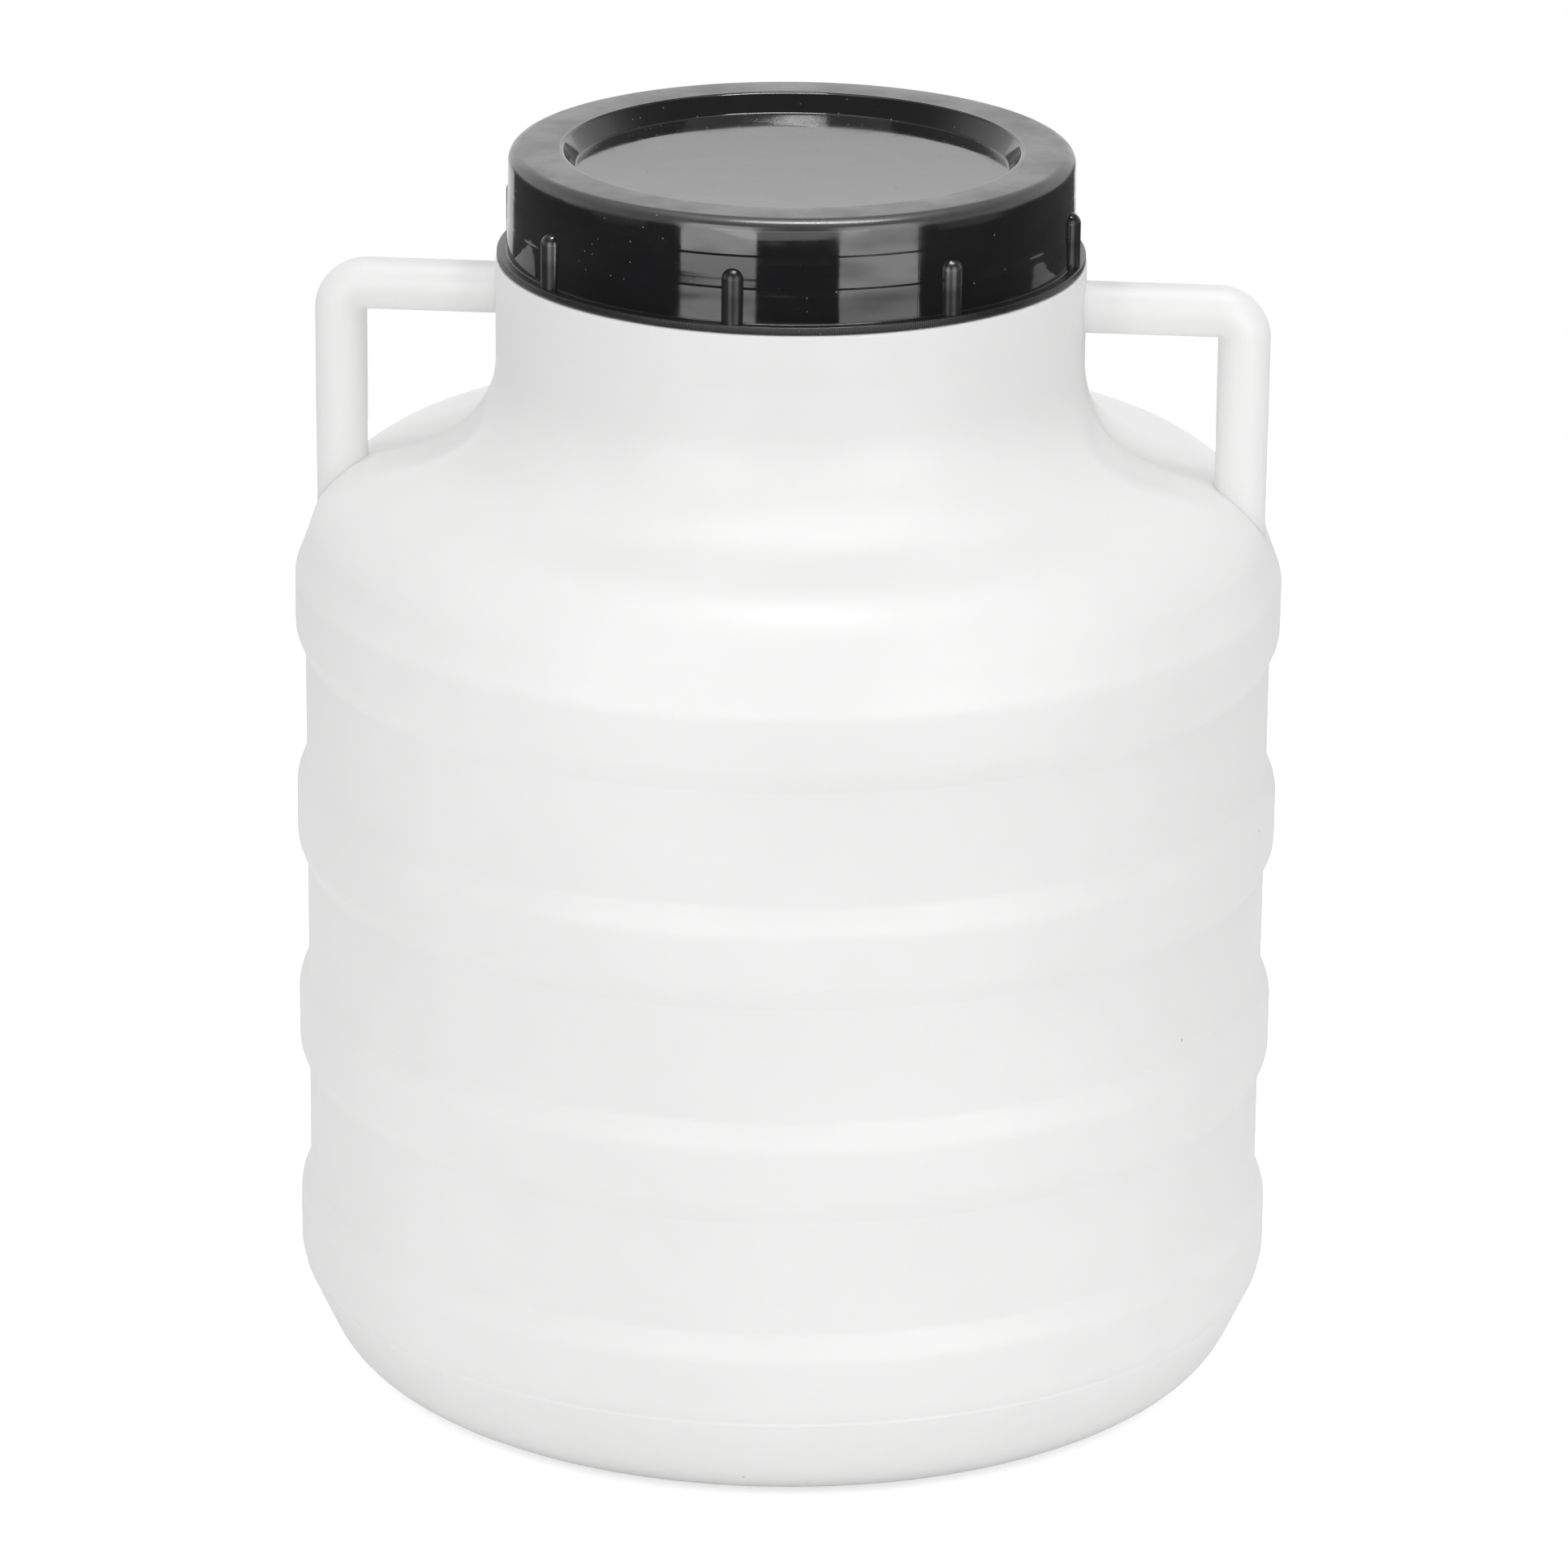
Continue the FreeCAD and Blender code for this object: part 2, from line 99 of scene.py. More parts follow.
class BarrelSizes(bpy.types.PropertyGroup):
    """Sizes of the barrel."""

    underside_rise: length("Underside rise", 0.0012, "Depth of the shallow recess under the base")
    ring_inside: length("Ring inside", 0.108, "Inside of the ring that the barrel stands on")
    ring_edge: length("Ring edge", 0.112, "Where the ring comes down to the floor")
    ring_round: length("Ring rounding", 0.002, "Rounding of the ring's inner edges")
    foot_radius: length("Foot radius", 0.158, "Bottom of the tapered base")
    foot_height: length("Base height", 0.032, "Floor to the lowest hoop")
    heel_round: length("Heel rounding", 0.028, "Rounding between base and floor")
    base_top: length("Base top", 0.035, "Height to which the base reaches over the lowest hoop")
    base_proud: length("Base lip", 0.0023, "How far the top of the base stands out of the wall")
    base_slope: length("Base slope", 0.001, "Rise of the narrow slope from the base's lip to the lowest hoop")
    base_lip_round: length("Base lip rounding", 0.0006, "Rounding of the base's lip")
    base_root_round: length("Base root rounding", 0.0003, "Rounding where the lip's slope meets the hoop")
    wall_radius: length("Wall radius", 0.172, "Wall between the hoops")
    hoop_count: count("Hoops", 4, "Number of hoops")
    hoop_pitch: length("Hoop pitch", 0.078, "From one hoop to the next")
    hoop_proud: length("Hoop height", 0.0035, "How far a hoop stands out of the wall")
    hoop_lower: length("Hoop lower slope", 0.007, "Height of the lower slope")
    hoop_face: length("Hoop face", 0.0205, "Height of the upright face")
    hoop_upper: length("Hoop upper slope", 0.009, "Height of the upper slope")
    crest_round: length("Crest rounding", 0.010, "Rounding at both edges of a hoop")
    crease_round: length("Crease rounding", 0.0015, "Rounding in the crease under a hoop")
    root_round: length("Root rounding", 0.006, "Rounding where a hoop's upper slope meets the wall")
    shoulder_corner: length("Shoulder corner", 0.3235, "Height at which wall and shoulder would meet")
    shoulder_round: length("Shoulder rounding", 0.035, "Rounding of wall into shoulder")
    neck_corner: length("Neck corner", 0.342358, "Height at which shoulder and neck would meet")
    neck_round: length("Neck rounding", 0.037, "Rounding of shoulder into neck")
    neck_radius: length("Neck radius", 0.104, "Neck under the lid")
    insert_line: length("Insert line", 0.3872, "Height of the faint line round the neck")
    insert_depth: length("Insert line depth", 0.00002, "Depth of the faint line")
    insert_edge: length("Insert line edge", 0.00035, "Half the faint line's flat, and each of its slopes")
    shelf: length("Shelf", 0.406858, "Height of the shelf under the lid")
    shelf_round: length("Shelf rounding", 0.0012, "Rounding of the shelf's edge")
    mouth_radius: length("Mouth radius", 0.0972, "Mouth inside the lid")
    mouth_top: length("Mouth top", 0.443558, "Height of the rim of the mouth")
    mouth_bore: length("Mouth bore", 0.0833, "Inside of the mouth")
    mouth_lean: length("Mouth lean", 0.0043, "How far the inside of the mouth leans in on its way down")
    mouth_floor: length("Mouth floor", 0.436258, "Height of the shut top under the lid's panel")
    tube_radius: length("Handle tube", 0.0092, "Radius of the handle tube")
    tube_start: length("Handle start", 0.012, "How far inside the neck the handle's tube begins")
    tube_steps: count("Tube steps", 56, "Faces round a handle's tube", 8)
    bend_steps: count("Bend steps", 20, "Faces along a handle's bend", 4)
    bar_height: length("Handle bar", 0.392158, "Height of the middle of the handle's bar")
    reach: length("Handle reach", 0.160, "Axis to the middle of the handle's upright")
    bend: length("Handle bend", 0.0095, "Bend of the handle's middle line")
    handle_foot: length("Handle foot", 0.3025, "Height at which the handle ends inside the shoulder")
    hollow_depth: length("Hollow depth", 0.0034, "Depth of the hollows beside the shoulder's parting ridge")
    hollow_width: length("Hollow width", 0.036, "Width of a hollow from the ridge")
    hollow_middle: number("Hollow middle", 0.36, "Share of its width at which a hollow is deepest")
    hollow_swell: number("Hollow swell", 1.2, "How slowly a hollow deepens beside the ridge; 1 is a plain sine")
    hollow_start: length("Hollow start", 0.104, "Axis to where a hollow begins at the neck")
    hollow_full: length("Hollow full", 0.116, "Axis to where a hollow has its full depth")
    hollow_fade: length("Hollow fade", 0.140, "Axis to where a hollow begins to die out")
    hollow_end: length("Hollow end", 0.157, "Axis to where a hollow has died out")
    steps_round: count("Steps round", 288, "Faces round the barrel", 24)


class LidSizes(bpy.types.PropertyGroup):
    """Sizes of the lid."""

    bore: length("Bore", 0.0975, "Inside of the lid")
    foot: length("Lower edge", LID_FOOT, "Height of the lower edge")
    top: length("Rim height", LID_TOP, "Height of the rim")
    side_radius: length("Side radius", 0.1001, "Side above the flange")
    rim_radius: length("Rim radius", 0.0994, "Side at the rim")
    wall: length("Wall", 0.0026, "Thickness of the lid")
    under_round: length("Under rounding", 0.0005, "Rounding of the corners under the rim")
    flange_radius: length("Flange radius", 0.1036, "Outside of the flange")
    flange_height: length("Flange height", 0.0026, "Height of the flange")
    flange_round: length("Flange rounding", 0.0006, "Rounding of the flange's edges")
    flange_root: length("Flange root", 0.0004, "Rounding where the flange meets the side")
    rim_round: length("Rim rounding", 0.0044, "Rounding of the rim's outer edge")
    lip_round: length("Lip rounding", 0.0014, "Rounding of the rim's inner edge")
    recess_radius: length("Recess radius", 0.0804, "Inside of the rim")
    panel_run: length("Panel run", 0.0043, "How far the wall of the recess leans in on its way down")
    panel_depth: length("Panel depth", 0.007, "How far the panel is sunk")
    panel_round: length("Panel rounding", 0.0012, "Rounding where the wall of the recess meets the panel")
    panel_under: length("Panel under rounding", 0.001, "The same corner underneath")
    upper_sink: length("Upper sink ring", 0.4330, "Height of the upper shallow ring round the side")
    lower_sink: length("Lower sink ring", 0.4216, "Height of the lower shallow ring round the side")
    sink_depth: length("Sink depth", 0.00005, "Depth of the shallow rings")
    sink_below: length("Sink slope below", 0.0024, "Height of a ring's long slope, below its deepest line")
    sink_above: length("Sink slope above", 0.0008, "Height of a ring's short slope, above its deepest line")
    sink_start: length("Sink start rounding", 0.006, "Rounding where a ring's long slope begins")
    sink_round: length("Sink rounding", 0.002, "Rounding of a ring's other edges")
    rib_count: count("Ribs", 8, "Number of grip ribs")
    rib_radius: length("Rib radius", 0.0039, "Half the width of a rib")
    rib_proud: length("Rib height", 0.0028, "How far a rib stands out of the side")
    rib_steps: count("Rib steps", 24, "Faces round a rib", 4)
    rib_top: length("Rib top", 0.428958, "Height of the top of a rib")
    tick_count: count("Ticks", 800, "Fine upright ticks round the flange")
    turn: angle("Turn", -6.3, "How far the lid is screwed round")
    steps_round: count("Steps round", 256, "Faces round the lid", 24)


class Finishes(bpy.types.PropertyGroup):
    """Colours and gloss of the plastics."""

    barrel_colour: colour("Barrel", (0.84, 0.84, 0.836), "Natural white plastic")
    barrel_shade: colour("Barrel, thick", (0.81, 0.81, 0.806), "The same plastic where the wall is thicker")
    # This colour is painted shade: it darkens the plastic up the neck, under the lid, where shade falls; the
    # plastic there is not thicker.
    painted_neck_shade: colour("Barrel, neck", (0.775, 0.775, 0.772), "The same plastic in the thick wall of the neck")
    speck_colour: colour("Specks", (0.20, 0.19, 0.17), "Dark specks in the white plastic")
    barrel_gloss: number("Barrel roughness", 0.56, "Roughness of the barrel")
    lid_colour: colour("Lid", (0.010, 0.010, 0.011), "Black plastic")
    lid_dust: colour("Dust", (0.30, 0.30, 0.29), "Dust on the lid")
    lid_gloss: number("Lid roughness", 0.07, "Roughness of the lid's side and panel")
    rim_gloss: number("Rim roughness", 0.30, "Roughness of the worn rim, the flange and the ribs")


class StageSizes(bpy.types.PropertyGroup):
    """Camera and light."""

    camera_distance: length("Camera distance", 2.7704, "Axis to camera, level")
    camera_height: length("Camera height", 1.1576, "Floor to camera")
    camera_turn: angle("Camera turn", 5.2, "Camera round the barrel")
    camera_tilt: angle("Camera tilt", 18.87, "Camera's fall below level")
    camera_swing: angle("Camera swing", 0.01719, "Camera's aim to the left of the axis")
    camera_roll: angle("Camera roll", 0.53285, "Camera turned about its own axis")
    focal_length: number("Focal length", 186.97, "In millimetres")
    floor_radius: length("Floor radius", 1.2, "Radius of the pale floor")
    floor_drop: length("Floor drop", 0.0005, "How far the floor lies under the barrel")
    floor_colour: colour("Floor", (0.92, 0.92, 0.92), "Pale floor")
    floor_glow: number("Floor glow", 0.55, "Light that the floor adds for the camera alone")
    backdrop_turn: angle("Backdrop turn", 10.7, "Middle of the pale backdrop")
    world_light: number("Room light", 0.69, "Plain light from all round")


# Each lamp: its angle round from the camera in degrees, distance out and height; the distance out and
# height of its aim; its width and height; its brightness; and whether it lights matt surfaces too or
# only shows in glossy ones.
LAMPS = {
    "left_window": (-27.8, 0.95, 0.603, 0, 0.603, 0.50, 0.794, 5.0, False),
    "right_window": (33.9, 0.95, 0.575, 0, 0.575, 0.54, 0.85, 4.1, False),
    "front_low": (0, 2.2, 0.35, 0, 0.2, 2.6, 0.6, 2.25, True),
    "left_side": (-80, 2.2, 0.6, 0, 0.2, 1.8, 1.2, 0.37, True),
    "right_side": (80, 2.2, 0.6, 0, 0.2, 1.8, 1.2, 0.44, True),
    "back_soft": (180, 2.2, 0.95, 0, 0.45, 2.6, 1.3, 0.3, True),
    "top_wide": (0, 0, 2.2, 0, 0, 1.6, 1.6, 1.15, True),
    "top_strip": (37, 0.364, 2.45, 0.364, 0, 1.12, 0.25, 4.2, True),
    # It hangs a little lower than top_strip, because a mirrored ray finds only one of two lamps
    # that lie in the same plane.
    "top_glint": (37, 0.364, 2.43, 0.364, 0, 1.12, 0.25, 45.0, False),
}


# ---------------------------------------------------------------- outlines


def start_outline(bm, across, up):
    """Put down the first point of an outline in the upright plane."""
    return bmesh.ops.create_vert(bm, co=(across, 0, up))["vert"][0]


def line_to(bm, point, across, up):
    """Draw on from the last point in a straight line."""
    end = bmesh.ops.extrude_vert_indiv(bm, verts=[point])["verts"][0]
    end.co = (across, 0, up)
    return end


def arc_on(bm, point, centre, angle, fineness=math.radians(7)):
    """Draw on from the last point in an arc about a centre."""
    steps = max(2, math.ceil(abs(angle) / fineness))
    cent = (centre.x, 0, centre.y)
    arc = bmesh.ops.spin(bm, geom=[point], cent=cent, axis=ACROSS, angle=-angle, steps=steps)
    return next(item for item in arc["geom_last"] if isinstance(item, bmesh.types.BMVert))


def rounding(before, corner, after, radius):
    """Where an arc of that radius fits into a corner: its centre, first point and angle."""
    before, corner, after = Vector(before), Vector(corner), Vector(after)
    arriving = (corner - before).normalized()
    leaving = (after - corner).normalized()
    turn = math.atan2(arriving.cross(leaving), arriving.dot(leaving))
    first = corner - arriving * radius * math.tan(abs(turn) / 2)
    side = math.copysign(1, turn)
    centre = first + Vector((-arriving.y, arriving.x)) * radius * side
    return centre, first, turn


def draw_corners(bm, point, corners):
    """Draw on through corners of (across, up, rounding); the last one ends the line."""
    for index, (across, up, radius) in enumerate(corners):
        if radius and index + 1 < len(corners):
            before = corners[index - 1][:2] if index else (point.co.x, point.co.z)
            centre, first, turn = rounding(before, (across, up), corners[index + 1][:2], radius)
            point = line_to(bm, point, first.x, first.y)
            point = arc_on(bm, point, centre, turn)
        else:
            point = line_to(bm, point, across, up)
    return point


def turn_round(bm, steps):
    """Turn the outline once round the upright axis and close it at the poles."""
    outline = bm.verts[:] + bm.edges[:]
    bmesh.ops.spin(bm, geom=outline, cent=(0, 0, 0), axis=UPRIGHT, angle=FULL_TURN, steps=steps, use_merge=True)
    bmesh.ops.remove_doubles(bm, verts=bm.verts[:], dist=WELD)


def join_to(bm, other):
    """Put a second mesh into the first."""
    carrier = bpy.data.meshes.new("carrier")
    other.to_mesh(carrier)
    other.free()
    bm.from_mesh(carrier)
    bpy.data.meshes.remove(carrier)


def finish_piece(bm, name, material, node):
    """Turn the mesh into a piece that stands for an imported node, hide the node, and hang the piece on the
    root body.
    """
    bmesh.ops.recalc_face_normals(bm, faces=bm.faces[:])
    for face in bm.faces:
        face.smooth = True
    for edge in bm.edges:
        edge.smooth = edge.calc_face_angle(0) < SHARP
    mesh = bpy.data.meshes.new(name)
    bm.to_mesh(mesh)
    bm.free()
    piece = bpy.data.objects.new(name, mesh)
    bpy.context.scene.collection.objects.link(piece)
    mesh.materials.append(material)
    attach(piece, "root")
    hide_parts(node)
    return piece


# ---------------------------------------------------------------- barrel


def draw_base_and_hoops(bm, sizes):
    """Start the outline at the floor, and list its corners from the heel up over the hoops."""
    point = start_outline(bm, 0, sizes.underside_rise)
    corners = [
        (sizes.ring_inside, sizes.underside_rise, sizes.ring_round),
        (sizes.ring_edge, 0, sizes.ring_round),
        (sizes.foot_radius, 0, sizes.heel_round),
    ]
    crest = sizes.wall_radius + sizes.hoop_proud
    lip_top = sizes.base_top + sizes.base_slope
    overlap = (lip_top - sizes.foot_height) / sizes.hoop_lower
    for hoop in range(sizes.hoop_count):
        start = sizes.foot_height + hoop * sizes.hoop_pitch
        face_top = start + sizes.hoop_lower + sizes.hoop_face
        if hoop:
            corners.append((sizes.wall_radius, start, sizes.crease_round))
        else:
            corners += [
                (sizes.wall_radius + sizes.base_proud, sizes.base_top, sizes.base_lip_round),
                (sizes.wall_radius + sizes.hoop_proud * overlap, lip_top, sizes.base_root_round),
            ]
        corners += [
            (crest, start + sizes.hoop_lower, sizes.crest_round),
            (crest, face_top, sizes.crest_round),
            (sizes.wall_radius, face_top + sizes.hoop_upper, sizes.root_round),
        ]
    return point, corners


def slope_onto_arc(start, slope, centre, radius):
    """Where a straight slope that starts outside an arc comes down onto it."""
    gap = start - centre
    half = gap.dot(slope)
    reach = half * half - slope.dot(slope) * (gap.dot(gap) - radius * radius)
    return start + slope * (-half - math.sqrt(reach)) / slope.dot(slope)


def draw_barrel(bm, sizes):
    """Draw the whole outline of the barrel, floor to shut mouth."""
    point, corners = draw_base_and_hoops(bm, sizes)
    wall = (sizes.wall_radius, sizes.foot_height)
    shoulder = (sizes.wall_radius, sizes.shoulder_corner)
    neck = (sizes.neck_radius, sizes.neck_corner)
    centre, _, turn = rounding(wall, shoulder, neck, sizes.shoulder_round)
    last_face = Vector(corners[-2][:2])
    slope = Vector((-sizes.hoop_proud, sizes.hoop_upper))
    meeting = slope_onto_arc(last_face, slope, centre, sizes.shoulder_round)
    corners[-1] = (meeting.x, meeting.y, 0)
    point = draw_corners(bm, point, corners)

    begun = math.atan2(meeting.y - centre.y, meeting.x - centre.x)
    point = arc_on(bm, point, centre, turn - begun, fineness=math.radians(2.5))
    centre, first, turn = rounding(shoulder, neck, (sizes.neck_radius, sizes.shelf), sizes.neck_round)
    point = line_to(bm, point, first.x, first.y)
    point = arc_on(bm, point, centre, turn, fineness=math.radians(2))

    line, edge = sizes.insert_line, sizes.insert_edge
    sunk = sizes.neck_radius - sizes.insert_depth
    draw_corners(bm, point, [
        (sizes.neck_radius, line - 2 * edge, 0),
        (sunk, line - edge, 0),
        (sunk, line + edge, 0),
        (sizes.neck_radius, line + 2 * edge, 0),
        (sizes.neck_radius, sizes.shelf, sizes.shelf_round),
        (sizes.mouth_radius, sizes.shelf, 0),
        (sizes.mouth_radius, sizes.mouth_top, 0),
        (sizes.mouth_bore, sizes.mouth_top, 0),
        (sizes.mouth_bore - sizes.mouth_lean, sizes.mouth_floor, 0),
        (0, sizes.mouth_floor, 0),
    ])


def smooth_rise(value, low, high):
    """0 below low, 1 above high, and an even curve between them."""
    share = min(1.0, max(0.0, (value - low) / (high - low)))
    return share * share * (3 - 2 * share)


def sink_hollows(bm, sizes):
    """Hollow the shoulder on both sides of the ridge that runs from the neck to each handle."""
    deepest = sizes.hollow_middle * sizes.hollow_width
    lowest, highest = sizes.shoulder_corner - 0.006, sizes.shelf - 0.016
    for vert in bm.verts:
        place = vert.co
        across = math.hypot(place.x, place.y)
        beside = abs(place.y)
        if beside >= sizes.hollow_width or not lowest < place.z < highest:
            continue
        if beside < deepest:
            shape = math.sin(QUARTER_TURN * beside / deepest) ** sizes.hollow_swell
        else:
            shape = 1 - smooth_rise(beside, deepest, sizes.hollow_width)
        along = smooth_rise(across, sizes.hollow_start, sizes.hollow_full)
        along *= 1 - smooth_rise(across, sizes.hollow_fade, sizes.hollow_end)
        outward = vert.normal if vert.normal.z > 0 else -vert.normal
        vert.co = place - outward * sizes.hollow_depth * shape * along


def of_kind(geometry, kind):
    """Those items of an operator's result that are of one kind."""
    return [item for item in geometry if isinstance(item, kind)]


def add_handle(bm, sizes, side):
    """Run a tube out of the neck, round its bend and down into the shoulder."""
    start = sizes.neck_radius - sizes.tube_start
    place = Matrix.Translation((side * start, 0, sizes.bar_height)) @ Matrix.Rotation(QUARTER_TURN, 4, "Y")
    ring = bmesh.ops.create_circle(bm, segments=sizes.tube_steps, radius=sizes.tube_radius, matrix=place)
    edges = list({edge for vert in ring["verts"] for edge in vert.link_edges})
    ends = [list(edges)]
    out = sizes.reach - sizes.bend

    def run(edges, travel):
        """Draw the tube's open end on in a straight line, and return its new edges."""
        grown = bmesh.ops.extrude_edge_only(bm, edges=edges)["geom"]
        fresh = set(of_kind(grown, bmesh.types.BMVert))
        bmesh.ops.translate(bm, verts=list(fresh), vec=travel)
        return [
            edge for edge in of_kind(grown, bmesh.types.BMEdge)
            if set(edge.verts) <= fresh and len(edge.link_faces) == 1
        ]

    edges = run(edges, Vector((side * (out - start), 0, 0)))
    corner = (side * out, 0, sizes.bar_height - sizes.bend)
    bent = bmesh.ops.spin(
        bm, geom=edges, cent=corner, axis=ACROSS, angle=side * QUARTER_TURN, steps=sizes.bend_steps
    )
    edges = of_kind(bent["geom_last"], bmesh.types.BMEdge)
    drop = sizes.bar_height - sizes.bend - sizes.handle_foot
    edges = run(edges, Vector((0, 0, -drop)))
    ends.append(edges)
    for end in ends:
        bmesh.ops.holes_fill(bm, edges=end, sides=0)


class BARREL_OT_body(bpy.types.Operator):
    """Make the barrel with its hoops, shoulder, neck and handles"""

    bl_idname = "barrel.body"
    bl_label = "Barrel"

    def execute(self, context):
        sizes = context.scene.barrel_sizes
        bm = bmesh.new()
        draw_barrel(bm, sizes)
        turn_round(bm, sizes.steps_round)
        bmesh.ops.recalc_face_normals(bm, faces=bm.faces[:])
        bm.normal_update()
        sink_hollows(bm, sizes)
        for side in (1, -1):
            handle = bmesh.new()
            add_handle(handle, sizes, side)
            join_to(bm, handle)
        material = barrel_plastic(context.scene.barrel_finishes, sizes)
        piece = finish_piece(bm, "barrel_body", material, "barrel")
        return {"FINISHED"}


# ---------------------------------------------------------------- lid


def draw_lid(bm, sizes):
    """Draw the lid's outline: side with flange, rim, leaning wall and sunk panel, and back underneath."""
    flange_top = sizes.foot + sizes.flange_height
    taper = (sizes.side_radius - sizes.rim_radius) / (sizes.top - flange_top)

    def side_at(height):
        """Radius of the tapered side at a height."""
        return sizes.side_radius - taper * (height - flange_top)

    corners = [
        (sizes.flange_radius, sizes.foot, sizes.flange_round),
        (sizes.flange_radius, flange_top, sizes.flange_round),
        (sizes.side_radius, flange_top, sizes.flange_root),
    ]
    for sink in (sizes.lower_sink, sizes.upper_sink):
        begun, ended = sink - sizes.sink_below, sink + sizes.sink_above
        corners += [
            (side_at(begun), begun, sizes.sink_start),
            (side_at(sink) - sizes.sink_depth, sink, sizes.sink_round),
            (side_at(ended), ended, sizes.sink_round),
        ]
    panel = sizes.top - sizes.panel_depth
    under = panel - sizes.wall
    corners += [
        (sizes.rim_radius, sizes.top, sizes.rim_round),
        (sizes.recess_radius, sizes.top, sizes.lip_round),
        (sizes.recess_radius - sizes.panel_run, panel, sizes.panel_round),
        (0, panel, 0),
        (0, under, 0),
        (sizes.recess_radius + sizes.wall - sizes.panel_run, under, sizes.panel_under),
        (sizes.recess_radius + sizes.wall, sizes.top - sizes.wall, sizes.under_round),
        (sizes.bore, sizes.top - sizes.wall, sizes.under_round),
        (sizes.bore, sizes.foot, 0),
    ]
    draw_corners(bm, start_outline(bm, sizes.bore, sizes.foot), corners)


def draw_rib(bm, sizes):
    """Make one half-round rib with a domed top, flat at the back."""
    middle = sizes.side_radius - sizes.rib_radius + sizes.rib_proud
    spine = (middle, 0, 0)
    foot = sizes.foot + sizes.flange_height / 2
    dome = sizes.rib_top - sizes.rib_radius
    point = start_outline(bm, middle, foot)
    point = line_to(bm, point, middle + sizes.rib_radius, foot)
    point = line_to(bm, point, middle + sizes.rib_radius, dome)
    arc_on(bm, point, Vector((middle, dome)), QUARTER_TURN)
    bmesh.ops.rotate(bm, verts=bm.verts[:], cent=spine, matrix=Matrix.Rotation(-QUARTER_TURN, 3, "Z"))
    outline = bm.verts[:] + bm.edges[:]
    bmesh.ops.spin(bm, geom=outline, cent=spine, axis=UPRIGHT, angle=math.pi, steps=sizes.rib_steps)
    bmesh.ops.remove_doubles(bm, verts=bm.verts[:], dist=WELD)
    bmesh.ops.holes_fill(bm, edges=[edge for edge in bm.edges if edge.is_boundary], sides=0)


def add_ribs(bm, sizes):
    """Stand the grip ribs round the lid's side."""
    for rib in range(sizes.rib_count):
        fresh = bmesh.new()
        draw_rib(fresh, sizes)
        around = Matrix.Rotation(sizes.turn + FULL_TURN * rib / sizes.rib_count, 3, "Z")
        bmesh.ops.rotate(fresh, verts=fresh.verts[:], cent=(0, 0, 0), matrix=around)
        join_to(bm, fresh)


class BARREL_OT_lid(bpy.types.Operator):
    """Make the screw lid with its flange, grip ribs and sunk panel"""

    bl_idname = "barrel.lid"
    bl_label = "Lid"

    def execute(self, context):
        sizes = context.scene.lid_sizes
        bm = bmesh.new()
        draw_lid(bm, sizes)
        turn_round(bm, sizes.steps_round)
        add_ribs(bm, sizes)
        material = lid_plastic(context.scene.barrel_finishes, sizes)
        piece = finish_piece(bm, "screw_lid", material, "lid")
        return {"FINISHED"}


# ---------------------------------------------------------------- finishes


class Nodes:
    """Short ways to place and join the nodes of one node tree."""

    def __init__(self, tree):
        self.tree = tree

    def add(self, kind, settings=None, **inputs):
        """Place a node; settings are its attributes and inputs its sockets by name."""
        node = self.tree.nodes.new(kind)
        for key, value in (settings or {}).items():
            setattr(node, key, value)
        for key, value in inputs.items():
            self.feed(node.inputs[key.replace("_", " ")], value)
        return node

    def feed(self, socket, value):
        """Link a socket to an input, or set the input to a plain value."""
        if isinstance(value, bpy.types.NodeSocket):
            self.tree.links.new(value, socket)
        else:
            socket.default_value = value

    def maths(self, operation, first, second=0.0, clamp=False):
        """Work out one number from one or two others."""
        node = self.tree.nodes.new("ShaderNodeMath")
        node.operation = operation
        node.use_clamp = clamp
        self.feed(node.inputs[0], first)
        self.feed(node.inputs[1], second)
        return node.outputs[0]

    def ramp(self, value, low, high, to_low=0.0, to_high=1.0):
        """Map a range of values smoothly onto another."""
        node = self.add(
            "ShaderNodeMapRange",
            {"interpolation_type": "SMOOTHSTEP"},
            Value=value, From_Min=low, From_Max=high, To_Min=to_low, To_Max=to_high,
        )
        return node.outputs["Result"]

    def blend(self, factor, first, second):
        """Mix two colours."""
        node = self.tree.nodes.new("ShaderNodeMix")
        node.data_type = "RGBA"
        self.feed(node.inputs[0], factor)
        for socket, value in ((node.inputs[6], first), (node.inputs[7], second)):
            self.feed(socket, value if isinstance(value, bpy.types.NodeSocket) else (*value, 1))
        return node.outputs[2]

    def scaled(self, value, amount):
        """A value times a plain number or another value."""
        return self.maths("MULTIPLY", value, amount)

    def total(self, *values):
        """All the values added up."""
        result = values[0]
        for value in values[1:]:
            result = self.maths("ADD", result, value)
        return result

    def between(self, factor, first, second):
        """A number that goes from the first value to the second as the factor goes from 0 to 1."""
        node = self.add("ShaderNodeMix", {"data_type": "FLOAT"})
        self.feed(node.inputs[0], factor)
        self.feed(node.inputs[2], first)
        self.feed(node.inputs[3], second)
        return node.outputs[0]

    def from_axis(self, place):
        """How far a place is from the upright axis."""
        level = self.add("ShaderNodeVectorMath", {"operation": "MULTIPLY"})
        self.feed(level.inputs[0], place)
        level.inputs[1].default_value = (1, 1, 0)
        reach = self.add("ShaderNodeVectorMath", {"operation": "LENGTH"})
        self.feed(reach.inputs[0], level.outputs["Vector"])
        return reach.outputs["Value"]

    def noise(self, place, scale, detail=2.0, roughness=0.5):
        """Cloudy noise, about 0 to 1."""
        node = self.add("ShaderNodeTexNoise", Vector=place, Scale=scale, Detail=detail, Roughness=roughness)
        return node.outputs["Fac"]

    def stretch(self, place, across, up):
        """Scale the pattern's place differently across and up."""
        node = self.add("ShaderNodeMapping", Vector=place, Scale=(across, across, up))
        return node.outputs["Vector"]


